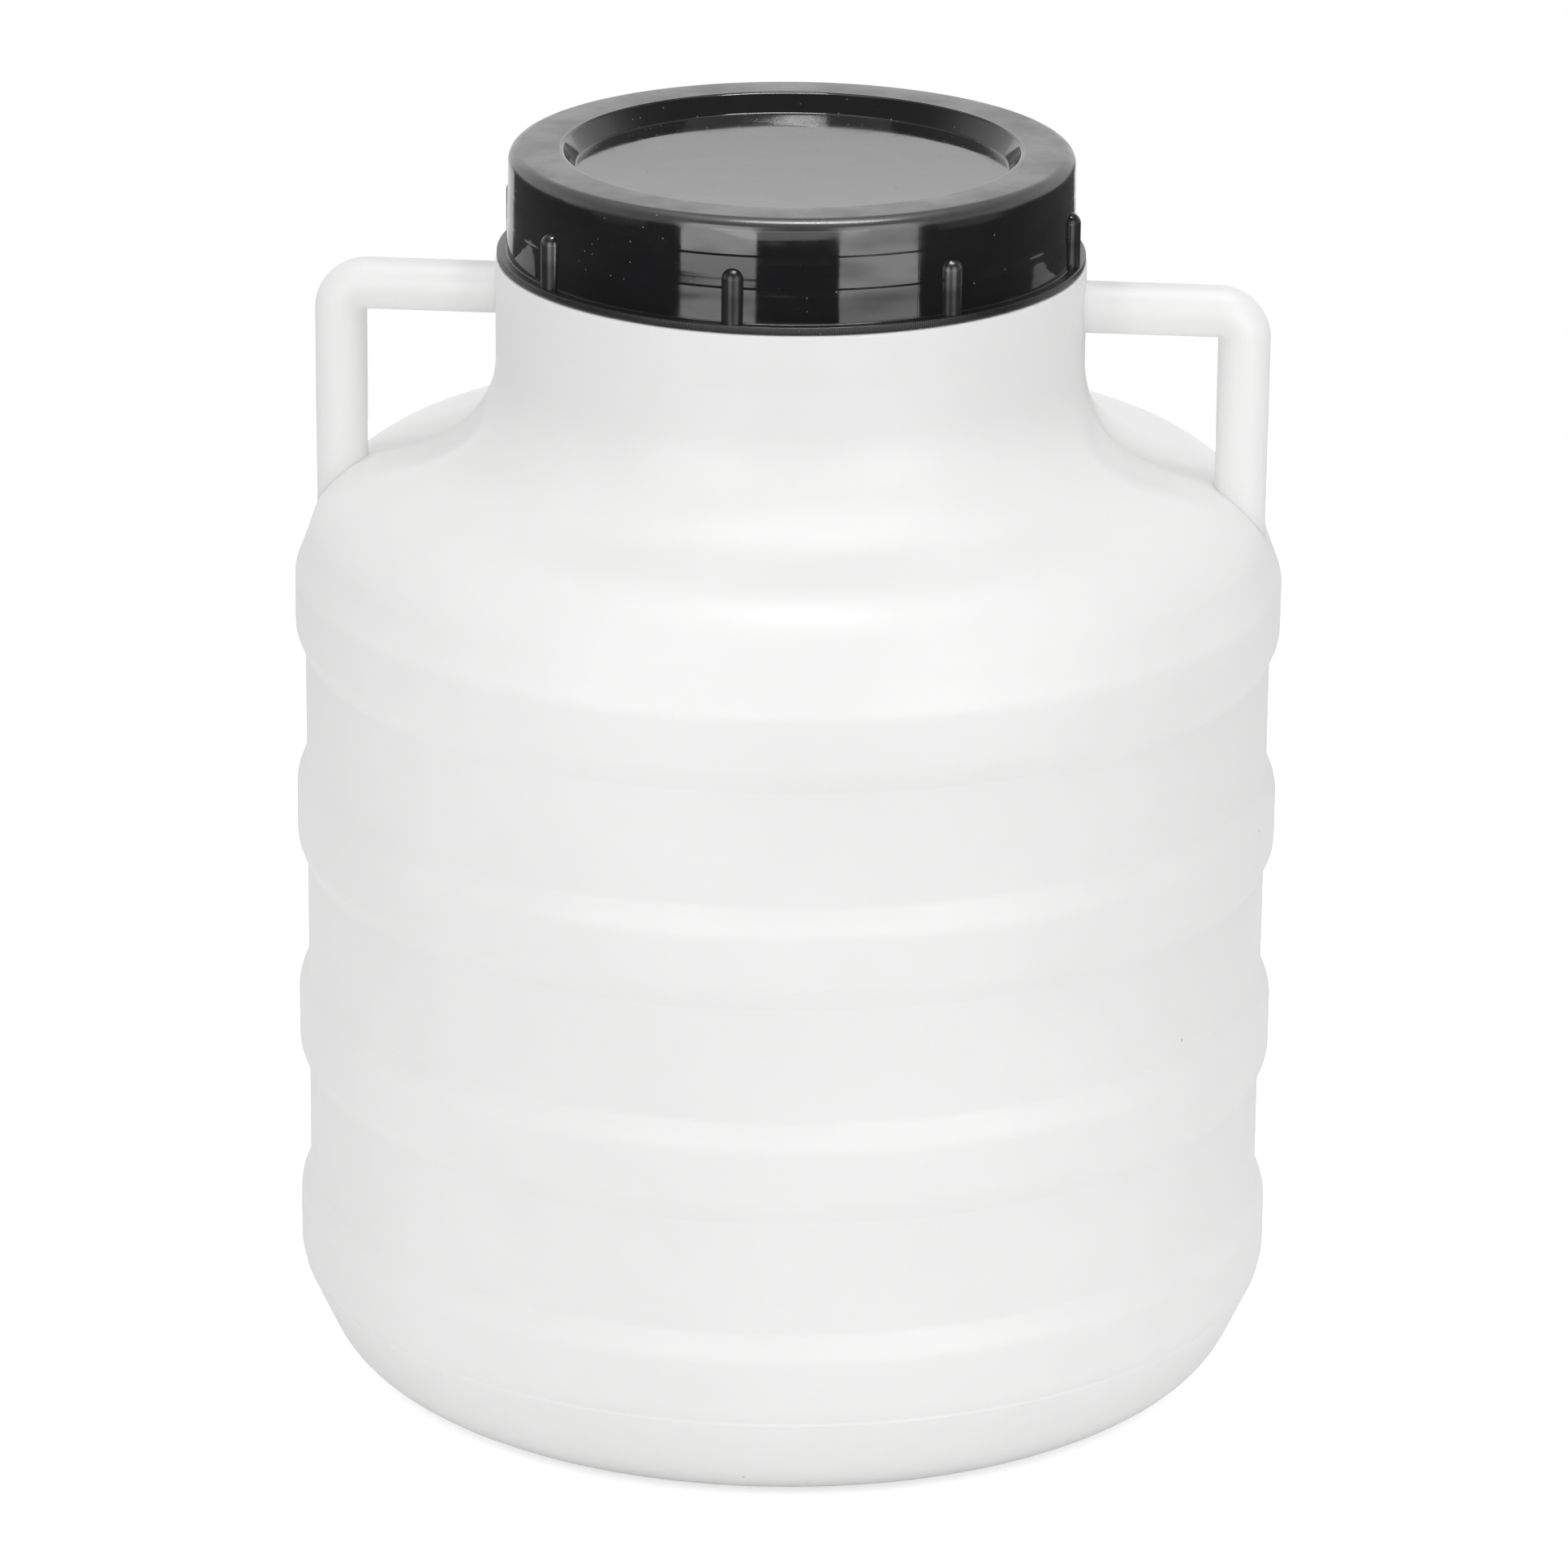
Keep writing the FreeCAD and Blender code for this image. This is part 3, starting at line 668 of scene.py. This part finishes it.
def new_group(name, inputs, outputs):
    """Start a node group with number or vector sockets."""
    tree = bpy.data.node_groups.new(name, "ShaderNodeTree")
    for label, kind, default in inputs:
        socket = tree.interface.new_socket(label, in_out="INPUT", socket_type=kind)
        if default is not None:
            socket.default_value = default
    for label, kind in outputs:
        tree.interface.new_socket(label, in_out="OUTPUT", socket_type=kind)
    nodes = Nodes(tree)
    return nodes, tree.nodes.new("NodeGroupInput"), tree.nodes.new("NodeGroupOutput")


def specks_group():
    """Scattered specks: 1 on a speck, 0 beside it."""
    name = "Specks"
    if name in bpy.data.node_groups:
        return bpy.data.node_groups[name]
    nodes, given, result = new_group(
        name,
        [("Place", "NodeSocketVector", None), ("Spacing", "NodeSocketFloat", 90.0),
         ("Size", "NodeSocketFloat", 0.05), ("Share", "NodeSocketFloat", 0.3)],
        [("Mask", "NodeSocketFloat")],
    )
    cells = nodes.add("ShaderNodeTexVoronoi", Vector=given.outputs["Place"], Scale=given.outputs["Spacing"])
    edge = nodes.scaled(given.outputs["Size"], 1.6)
    dot = nodes.ramp(cells.outputs["Distance"], given.outputs["Size"], edge, 1.0, 0.0)
    pick = nodes.add("ShaderNodeSeparateColor", Color=cells.outputs["Color"])
    kept = nodes.maths("LESS_THAN", pick.outputs["Red"], given.outputs["Share"])
    nodes.feed(result.inputs["Mask"], nodes.scaled(dot, kept))
    return nodes.tree


def mould_skin_group():
    """Skin of moulded plastic: fine grain and slow waves, as a height in metres."""
    name = "Mould skin"
    if name in bpy.data.node_groups:
        return bpy.data.node_groups[name]
    nodes, given, result = new_group(
        name,
        [("Place", "NodeSocketVector", None), ("Grain Scale", "NodeSocketFloat", 600.0),
         ("Grain Height", "NodeSocketFloat", 0.00001), ("Wave Scale", "NodeSocketFloat", 20.0),
         ("Wave Height", "NodeSocketFloat", 0.0001)],
        [("Height", "NodeSocketFloat")],
    )
    grain = nodes.noise(given.outputs["Place"], given.outputs["Grain Scale"], 2.0)
    wave = nodes.noise(given.outputs["Place"], given.outputs["Wave Scale"], 1.0)
    grain = nodes.scaled(grain, given.outputs["Grain Height"])
    wave = nodes.scaled(wave, given.outputs["Wave Height"])
    nodes.feed(result.inputs["Height"], nodes.total(grain, wave))
    return nodes.tree


def place_group(nodes, tree, **inputs):
    """Put a node group into a material, with its own values, and return what it puts out."""
    node = nodes.tree.nodes.new("ShaderNodeGroup")
    node.node_tree = tree
    for key, value in inputs.items():
        nodes.feed(node.inputs[key.replace("_", " ")], value)
    return node.outputs[0]


def new_material(name):
    """Start a material and return it with its nodes and its Principled shader."""
    material = bpy.data.materials.new(name)
    material.use_nodes = True
    material.node_tree.nodes.clear()
    nodes = Nodes(material.node_tree)
    shader = nodes.add("ShaderNodeBsdfPrincipled")
    output = nodes.add("ShaderNodeOutputMaterial")
    nodes.feed(output.inputs["Surface"], shader.outputs["BSDF"])
    return material, nodes, shader


def raise_skin(nodes, shader, height):
    """Let a height in metres bend the light on the surface."""
    bump = nodes.add("ShaderNodeBump", Height=height, Distance=1.0, Strength=1.0)
    nodes.feed(shader.inputs["Normal"], bump.outputs["Normal"])


def barrel_plastic(finishes, sizes):
    """Natural white plastic: satin, slightly cloudy, with a fine grain, streaks, a few specks and painted shade
    up the neck.
    """
    material, nodes, shader = new_material("barrel_white_plastic")
    place = nodes.add("ShaderNodeTexCoord").outputs["Object"]
    axes = nodes.add("ShaderNodeSeparateXYZ", Vector=place)

    cloud = nodes.ramp(nodes.noise(place, 7.0, 3.0), 0.35, 0.68)
    body = nodes.blend(cloud, finishes.barrel_shade, finishes.barrel_colour)
    # Painted shade: the plastic turns darker up the neck and close to it, under the lid.
    up_the_neck = nodes.ramp(axes.outputs["Z"], sizes.shelf - 0.062, sizes.shelf - 0.026)
    near_the_neck = nodes.ramp(nodes.from_axis(place), 0.125, 0.112)
    body = nodes.blend(nodes.scaled(up_the_neck, near_the_neck), body, finishes.painted_neck_shade)
    speck = place_group(nodes, specks_group(), Place=place, Spacing=42.0, Size=0.016, Share=0.22)
    body = nodes.blend(nodes.scaled(speck, 0.55), body, finishes.speck_colour)
    nodes.feed(shader.inputs["Base Color"], body)

    gloss = finishes.barrel_gloss
    satin = nodes.ramp(nodes.noise(place, 28.0, 3.0), 0.3, 0.7, gloss - 0.04, gloss + 0.05)
    nodes.feed(shader.inputs["Roughness"], satin)

    skin = place_group(
        nodes, mould_skin_group(),
        Place=place, Grain_Scale=900.0, Grain_Height=0.000022, Wave_Scale=16.0, Wave_Height=0.00022,
    )
    streaks = nodes.noise(nodes.stretch(place, 260.0, 9.0), 1.0, 2.0)
    beside_parting = nodes.maths("ABSOLUTE", axes.outputs["Y"])
    parting = nodes.ramp(beside_parting, 0.00015, 0.0006, 0.00014, 0.0)
    raise_skin(nodes, shader, nodes.total(skin, nodes.scaled(streaks, 0.000012), parting))

    shader.inputs["IOR"].default_value = 1.5
    shader.inputs["Subsurface Weight"].default_value = 0.25
    shader.inputs["Subsurface Radius"].default_value = (1.0, 1.0, 0.95)
    shader.inputs["Subsurface Scale"].default_value = 0.004
    return material


def lid_plastic(finishes, sizes):
    """Black plastic: glossy side and panel, worn satin rim, dust, fine scratches and sink waves."""
    material, nodes, shader = new_material("lid_black_plastic")
    place = nodes.add("ShaderNodeTexCoord").outputs["Object"]
    axes = nodes.add("ShaderNodeSeparateXYZ", Vector=place)
    level = axes.outputs["Z"]
    across = nodes.from_axis(place)

    # Where each finish lies: recess and lip, worn rim, side, and what stands out of the side.
    lip = sizes.recess_radius + sizes.lip_round
    in_recess = nodes.ramp(across, lip, lip - sizes.lip_round * 0.25)
    out_of_recess = nodes.maths("SUBTRACT", 1.0, in_recess)
    on_rim = nodes.ramp(level, sizes.top - 0.0052, sizes.top - 0.0007)
    on_rim = nodes.scaled(on_rim, out_of_recess)
    on_side = nodes.ramp(level, sizes.top - 0.004, sizes.top - 0.009)
    proud = nodes.ramp(across, sizes.side_radius + 0.0001, sizes.side_radius + 0.0005)

    # Dust: single specks, finer specks in patches and all over the recess, and a thin film.
    dust = place_group(nodes, specks_group(), Place=place, Spacing=160.0, Size=0.050, Share=0.16)
    fine = place_group(nodes, specks_group(), Place=place, Spacing=420.0, Size=0.10, Share=0.22)
    patch = nodes.maths("MAXIMUM", nodes.ramp(nodes.noise(place, 24.0, 3.0), 0.50, 0.66), in_recess)
    film = nodes.scaled(nodes.ramp(nodes.noise(place, 60.0, 4.0), 0.45, 0.8), 0.010)
    specks = nodes.maths("MAXIMUM", nodes.scaled(dust, 0.35), nodes.scaled(nodes.scaled(fine, patch), 0.5))
    dusty = nodes.total(specks, film)
    grey = nodes.total(dusty, nodes.scaled(on_rim, 0.17))
    nodes.feed(shader.inputs["Base Color"], nodes.blend(grey, finishes.lid_colour, finishes.lid_dust))

    # Gloss: smeared and scuffed on the side and panel, duller on the rim, the flange and the ribs.
    smear = nodes.noise(place, 45.0, 4.0, 0.6)
    scuff = nodes.ramp(nodes.noise(nodes.stretch(place, 30.0, 900.0), 1.0, 3.0), 0.56, 0.75)
    gloss = nodes.ramp(smear, 0.35, 0.75, finishes.lid_gloss - 0.02, finishes.lid_gloss + 0.05)
    gloss = nodes.total(gloss, nodes.scaled(scuff, 0.05))
    worn = nodes.ramp(smear, 0.3, 0.7, finishes.rim_gloss - 0.05, finishes.rim_gloss + 0.06)
    roughness = nodes.between(on_rim, gloss, worn)
    roughness = nodes.maths("ADD", roughness, nodes.scaled(dusty, 0.6), clamp=True)
    roughness = nodes.maths("MAXIMUM", roughness, nodes.scaled(proud, finishes.rim_gloss))
    nodes.feed(shader.inputs["Roughness"], roughness)

    # Skin: grain and waves, slow rings round the side, scratches, dust, and ticks round the flange.
    skin = place_group(
        nodes, mould_skin_group(),
        Place=place, Grain_Scale=700.0, Grain_Height=0.0000022, Wave_Scale=38.0, Wave_Height=0.00010,
    )
    rings = nodes.scaled(nodes.noise(nodes.stretch(place, 7.0, 230.0), 1.0, 2.0, 0.4), on_side)
    scratch = nodes.noise(nodes.stretch(place, 90.0, 4.0), 1.0, 1.0)
    scratch = nodes.ramp(scratch, 0.495, 0.505, 0.0, 0.000004)
    around = nodes.maths("ARCTAN2", axes.outputs["Y"], axes.outputs["X"])
    ticks = nodes.maths("SINE", nodes.scaled(around, sizes.tick_count))
    flange_top = sizes.foot + sizes.flange_height
    ticks = nodes.scaled(ticks, nodes.ramp(level, flange_top, flange_top - 0.0004))
    raise_skin(nodes, shader, nodes.total(
        skin, nodes.scaled(rings, 0.00004), scratch, nodes.scaled(dust, 0.00003), nodes.scaled(ticks, 0.00003)))

    # Shine: cloudy on the side and weaker near its foot, plain everywhere else.
    cloudy = nodes.ramp(nodes.noise(nodes.stretch(place, 24.0, 70.0), 1.0, 2.0), 0.38, 0.60, 0.33, 0.56)
    low_side = nodes.ramp(level, sizes.lower_sink - 0.004, sizes.lower_sink, 0.62, 1.0)
    plain = nodes.maths("MAXIMUM", in_recess, nodes.maths("SUBTRACT", 1.0, on_side))
    shine = nodes.between(plain, nodes.scaled(cloudy, low_side), 0.5)
    nodes.feed(shader.inputs["Specular IOR Level"], shine)
    shader.inputs["IOR"].default_value = 1.5
    return material


# ---------------------------------------------------------------- stage


def floor_finish(stage):
    """Pale matt floor that shows white to the camera and keeps the barrel's shadow."""
    material = bpy.data.materials.new("pale_floor")
    material.use_nodes = True
    material.node_tree.nodes.clear()
    nodes = Nodes(material.node_tree)
    matt = nodes.add("ShaderNodeBsdfDiffuse", Color=(*stage.floor_colour, 1))
    seen = nodes.add("ShaderNodeLightPath")
    strength = nodes.scaled(seen.outputs["Is Camera Ray"], stage.floor_glow)
    glow = nodes.add("ShaderNodeEmission", Color=(1, 1, 1, 1), Strength=strength)
    both = nodes.add("ShaderNodeAddShader")
    nodes.feed(both.inputs[0], matt.outputs[0])
    nodes.feed(both.inputs[1], glow.outputs[0])
    output = nodes.add("ShaderNodeOutputMaterial")
    nodes.feed(output.inputs["Surface"], both.outputs[0])
    return material


def light_room(stage):
    """Light the room plainly, show it white to the camera, and shape what glossy plastic mirrors."""
    world = bpy.data.worlds.new("plain_room")
    bpy.context.scene.world = world
    world.use_nodes = True
    world.node_tree.nodes.clear()
    nodes = Nodes(world.node_tree)
    seen = nodes.add("ShaderNodeLightPath")
    looking = nodes.add("ShaderNodeTexCoord").outputs["Generated"]
    upward = nodes.add("ShaderNodeSeparateXYZ", Vector=looking).outputs["Z"]
    behind = nodes.add("ShaderNodeVectorMath", {"operation": "DOT_PRODUCT"})
    nodes.feed(behind.inputs[0], looking)
    behind.inputs[1].default_value = (-math.sin(stage.backdrop_turn), math.cos(stage.backdrop_turn), 0)
    rearward = behind.outputs["Value"]

    # What glossy plastic mirrors: a pale backdrop, and a room that is darker low down, high up and in front.
    backdrop = nodes.ramp(rearward, 0.895, 0.912)
    low = nodes.maths("MAXIMUM", nodes.ramp(upward, -0.10, 0.02, 0.12, 1.0), backdrop)
    high = nodes.ramp(upward, 0.36, 0.60, 1.0, 0.45)
    front = nodes.ramp(rearward, -0.1, 0.4, 0.45, 1.0)
    mirrored = nodes.scaled(low, nodes.scaled(high, front))
    strength = nodes.between(seen.outputs["Is Glossy Ray"], stage.world_light, mirrored)
    white = nodes.maths("MAXIMUM", seen.outputs["Is Camera Ray"], seen.outputs["Is Transmission Ray"])
    strength = nodes.between(white, strength, 1.0)
    background = nodes.add("ShaderNodeBackground", Color=(1, 1, 1, 1), Strength=strength)
    output = nodes.add("ShaderNodeOutputWorld")
    nodes.feed(output.inputs["Surface"], background.outputs["Background"])


def round_the_barrel(stage, degrees, out, up):
    """A point round the barrel, by its angle from the camera's direction."""
    turn = stage.camera_turn + math.radians(degrees)
    return Vector((out * math.sin(turn), -out * math.cos(turn), up))


def hang_lamp(stage, name, degrees, out, up, aim_out, aim_up, width, height, brightness, diffuse):
    """Hang a flat soft lamp of a given brightness, aimed at a point."""
    light = bpy.data.lights.new(name, "AREA")
    light.shape = "RECTANGLE"
    light.size = width
    light.size_y = height
    light.energy = brightness * math.pi * width * height
    lamp = bpy.data.objects.new(name, light)
    bpy.context.scene.collection.objects.link(lamp)
    lamp.location = round_the_barrel(stage, degrees, out, up)
    aim = round_the_barrel(stage, degrees, aim_out, aim_up) - lamp.location
    lamp.rotation_euler = aim.to_track_quat("-Z", "Y").to_euler()
    lamp.visible_camera = False
    lamp.visible_diffuse = diffuse


def lay_floor(stage):
    """Lay a round pale floor under the barrel."""
    bm = bmesh.new()
    bmesh.ops.create_circle(bm, cap_ends=True, segments=96, radius=stage.floor_radius)
    mesh = bpy.data.meshes.new("floor")
    bm.to_mesh(mesh)
    bm.free()
    mesh.materials.append(floor_finish(stage))
    floor = bpy.data.objects.new("floor", mesh)
    floor.location.z = -stage.floor_drop
    bpy.context.scene.collection.objects.link(floor)


def set_camera(stage):
    """Stand the camera where it looks down on the barrel with a long lens."""
    camera = bpy.data.cameras.new("camera")
    camera.sensor_width = 36
    camera.lens = stage.focal_length
    camera.clip_end = 50
    holder = bpy.data.objects.new("camera", camera)
    bpy.context.scene.collection.objects.link(holder)
    tilt = stage.camera_tilt
    place = round_the_barrel(stage, 0, stage.camera_distance, stage.camera_height)
    aim = stage.camera_turn + stage.camera_swing
    forward = Vector((-math.sin(aim) * math.cos(tilt), math.cos(aim) * math.cos(tilt), -math.sin(tilt)))
    level = forward.cross(Vector(UPRIGHT)).normalized()
    upward = level.cross(forward)
    right = level * math.cos(stage.camera_roll) + upward * math.sin(stage.camera_roll)
    upward = right.cross(forward)
    rotation = Matrix((right, upward, -forward)).transposed().to_4x4()
    holder.matrix_world = Matrix.Translation(place) @ rotation
    bpy.context.scene.camera = holder


class BARREL_OT_stage(bpy.types.Operator):
    """Set the camera, the pale floor and the soft lights"""

    bl_idname = "barrel.stage"
    bl_label = "Stage"

    def execute(self, context):
        stage = context.scene.barrel_stage
        context.scene.view_settings.view_transform = "Standard"
        set_camera(stage)
        light_room(stage)
        lay_floor(stage)
        for name, lamp in LAMPS.items():
            hang_lamp(stage, name, *lamp)
        return {"FINISHED"}


class BARREL_PT_panel(bpy.types.Panel):
    """Lists what makes the barrel"""

    bl_label = "Barrel with screw lid"
    bl_idname = "BARREL_PT_panel"
    bl_space_type = "VIEW_3D"
    bl_region_type = "UI"
    bl_category = "Barrel"

    def draw(self, context):
        column = self.layout.column()
        for operator in (BARREL_OT_stage, BARREL_OT_body, BARREL_OT_lid):
            column.operator(operator.bl_idname)


CLASSES = (
    BarrelSizes, LidSizes, Finishes, StageSizes,
    BARREL_OT_body, BARREL_OT_lid, BARREL_OT_stage, BARREL_PT_panel,
)


def register():
    """Make the sizes, finishes, operators and panel known."""
    for item in CLASSES:
        bpy.utils.register_class(item)
    bpy.types.Scene.barrel_sizes = PointerProperty(type=BarrelSizes)
    bpy.types.Scene.lid_sizes = PointerProperty(type=LidSizes)
    bpy.types.Scene.barrel_finishes = PointerProperty(type=Finishes)
    bpy.types.Scene.barrel_stage = PointerProperty(type=StageSizes)


def unregister():
    """Take them away again."""
    del bpy.types.Scene.barrel_stage
    del bpy.types.Scene.barrel_finishes
    del bpy.types.Scene.lid_sizes
    del bpy.types.Scene.barrel_sizes
    for item in reversed(CLASSES):
        bpy.utils.unregister_class(item)


def main():
    """Make the stage, the barrel and the lid."""
    register()
    bpy.ops.barrel.stage()
    bpy.ops.barrel.body()
    bpy.ops.barrel.lid()


if __name__ == "__main__":
    main()
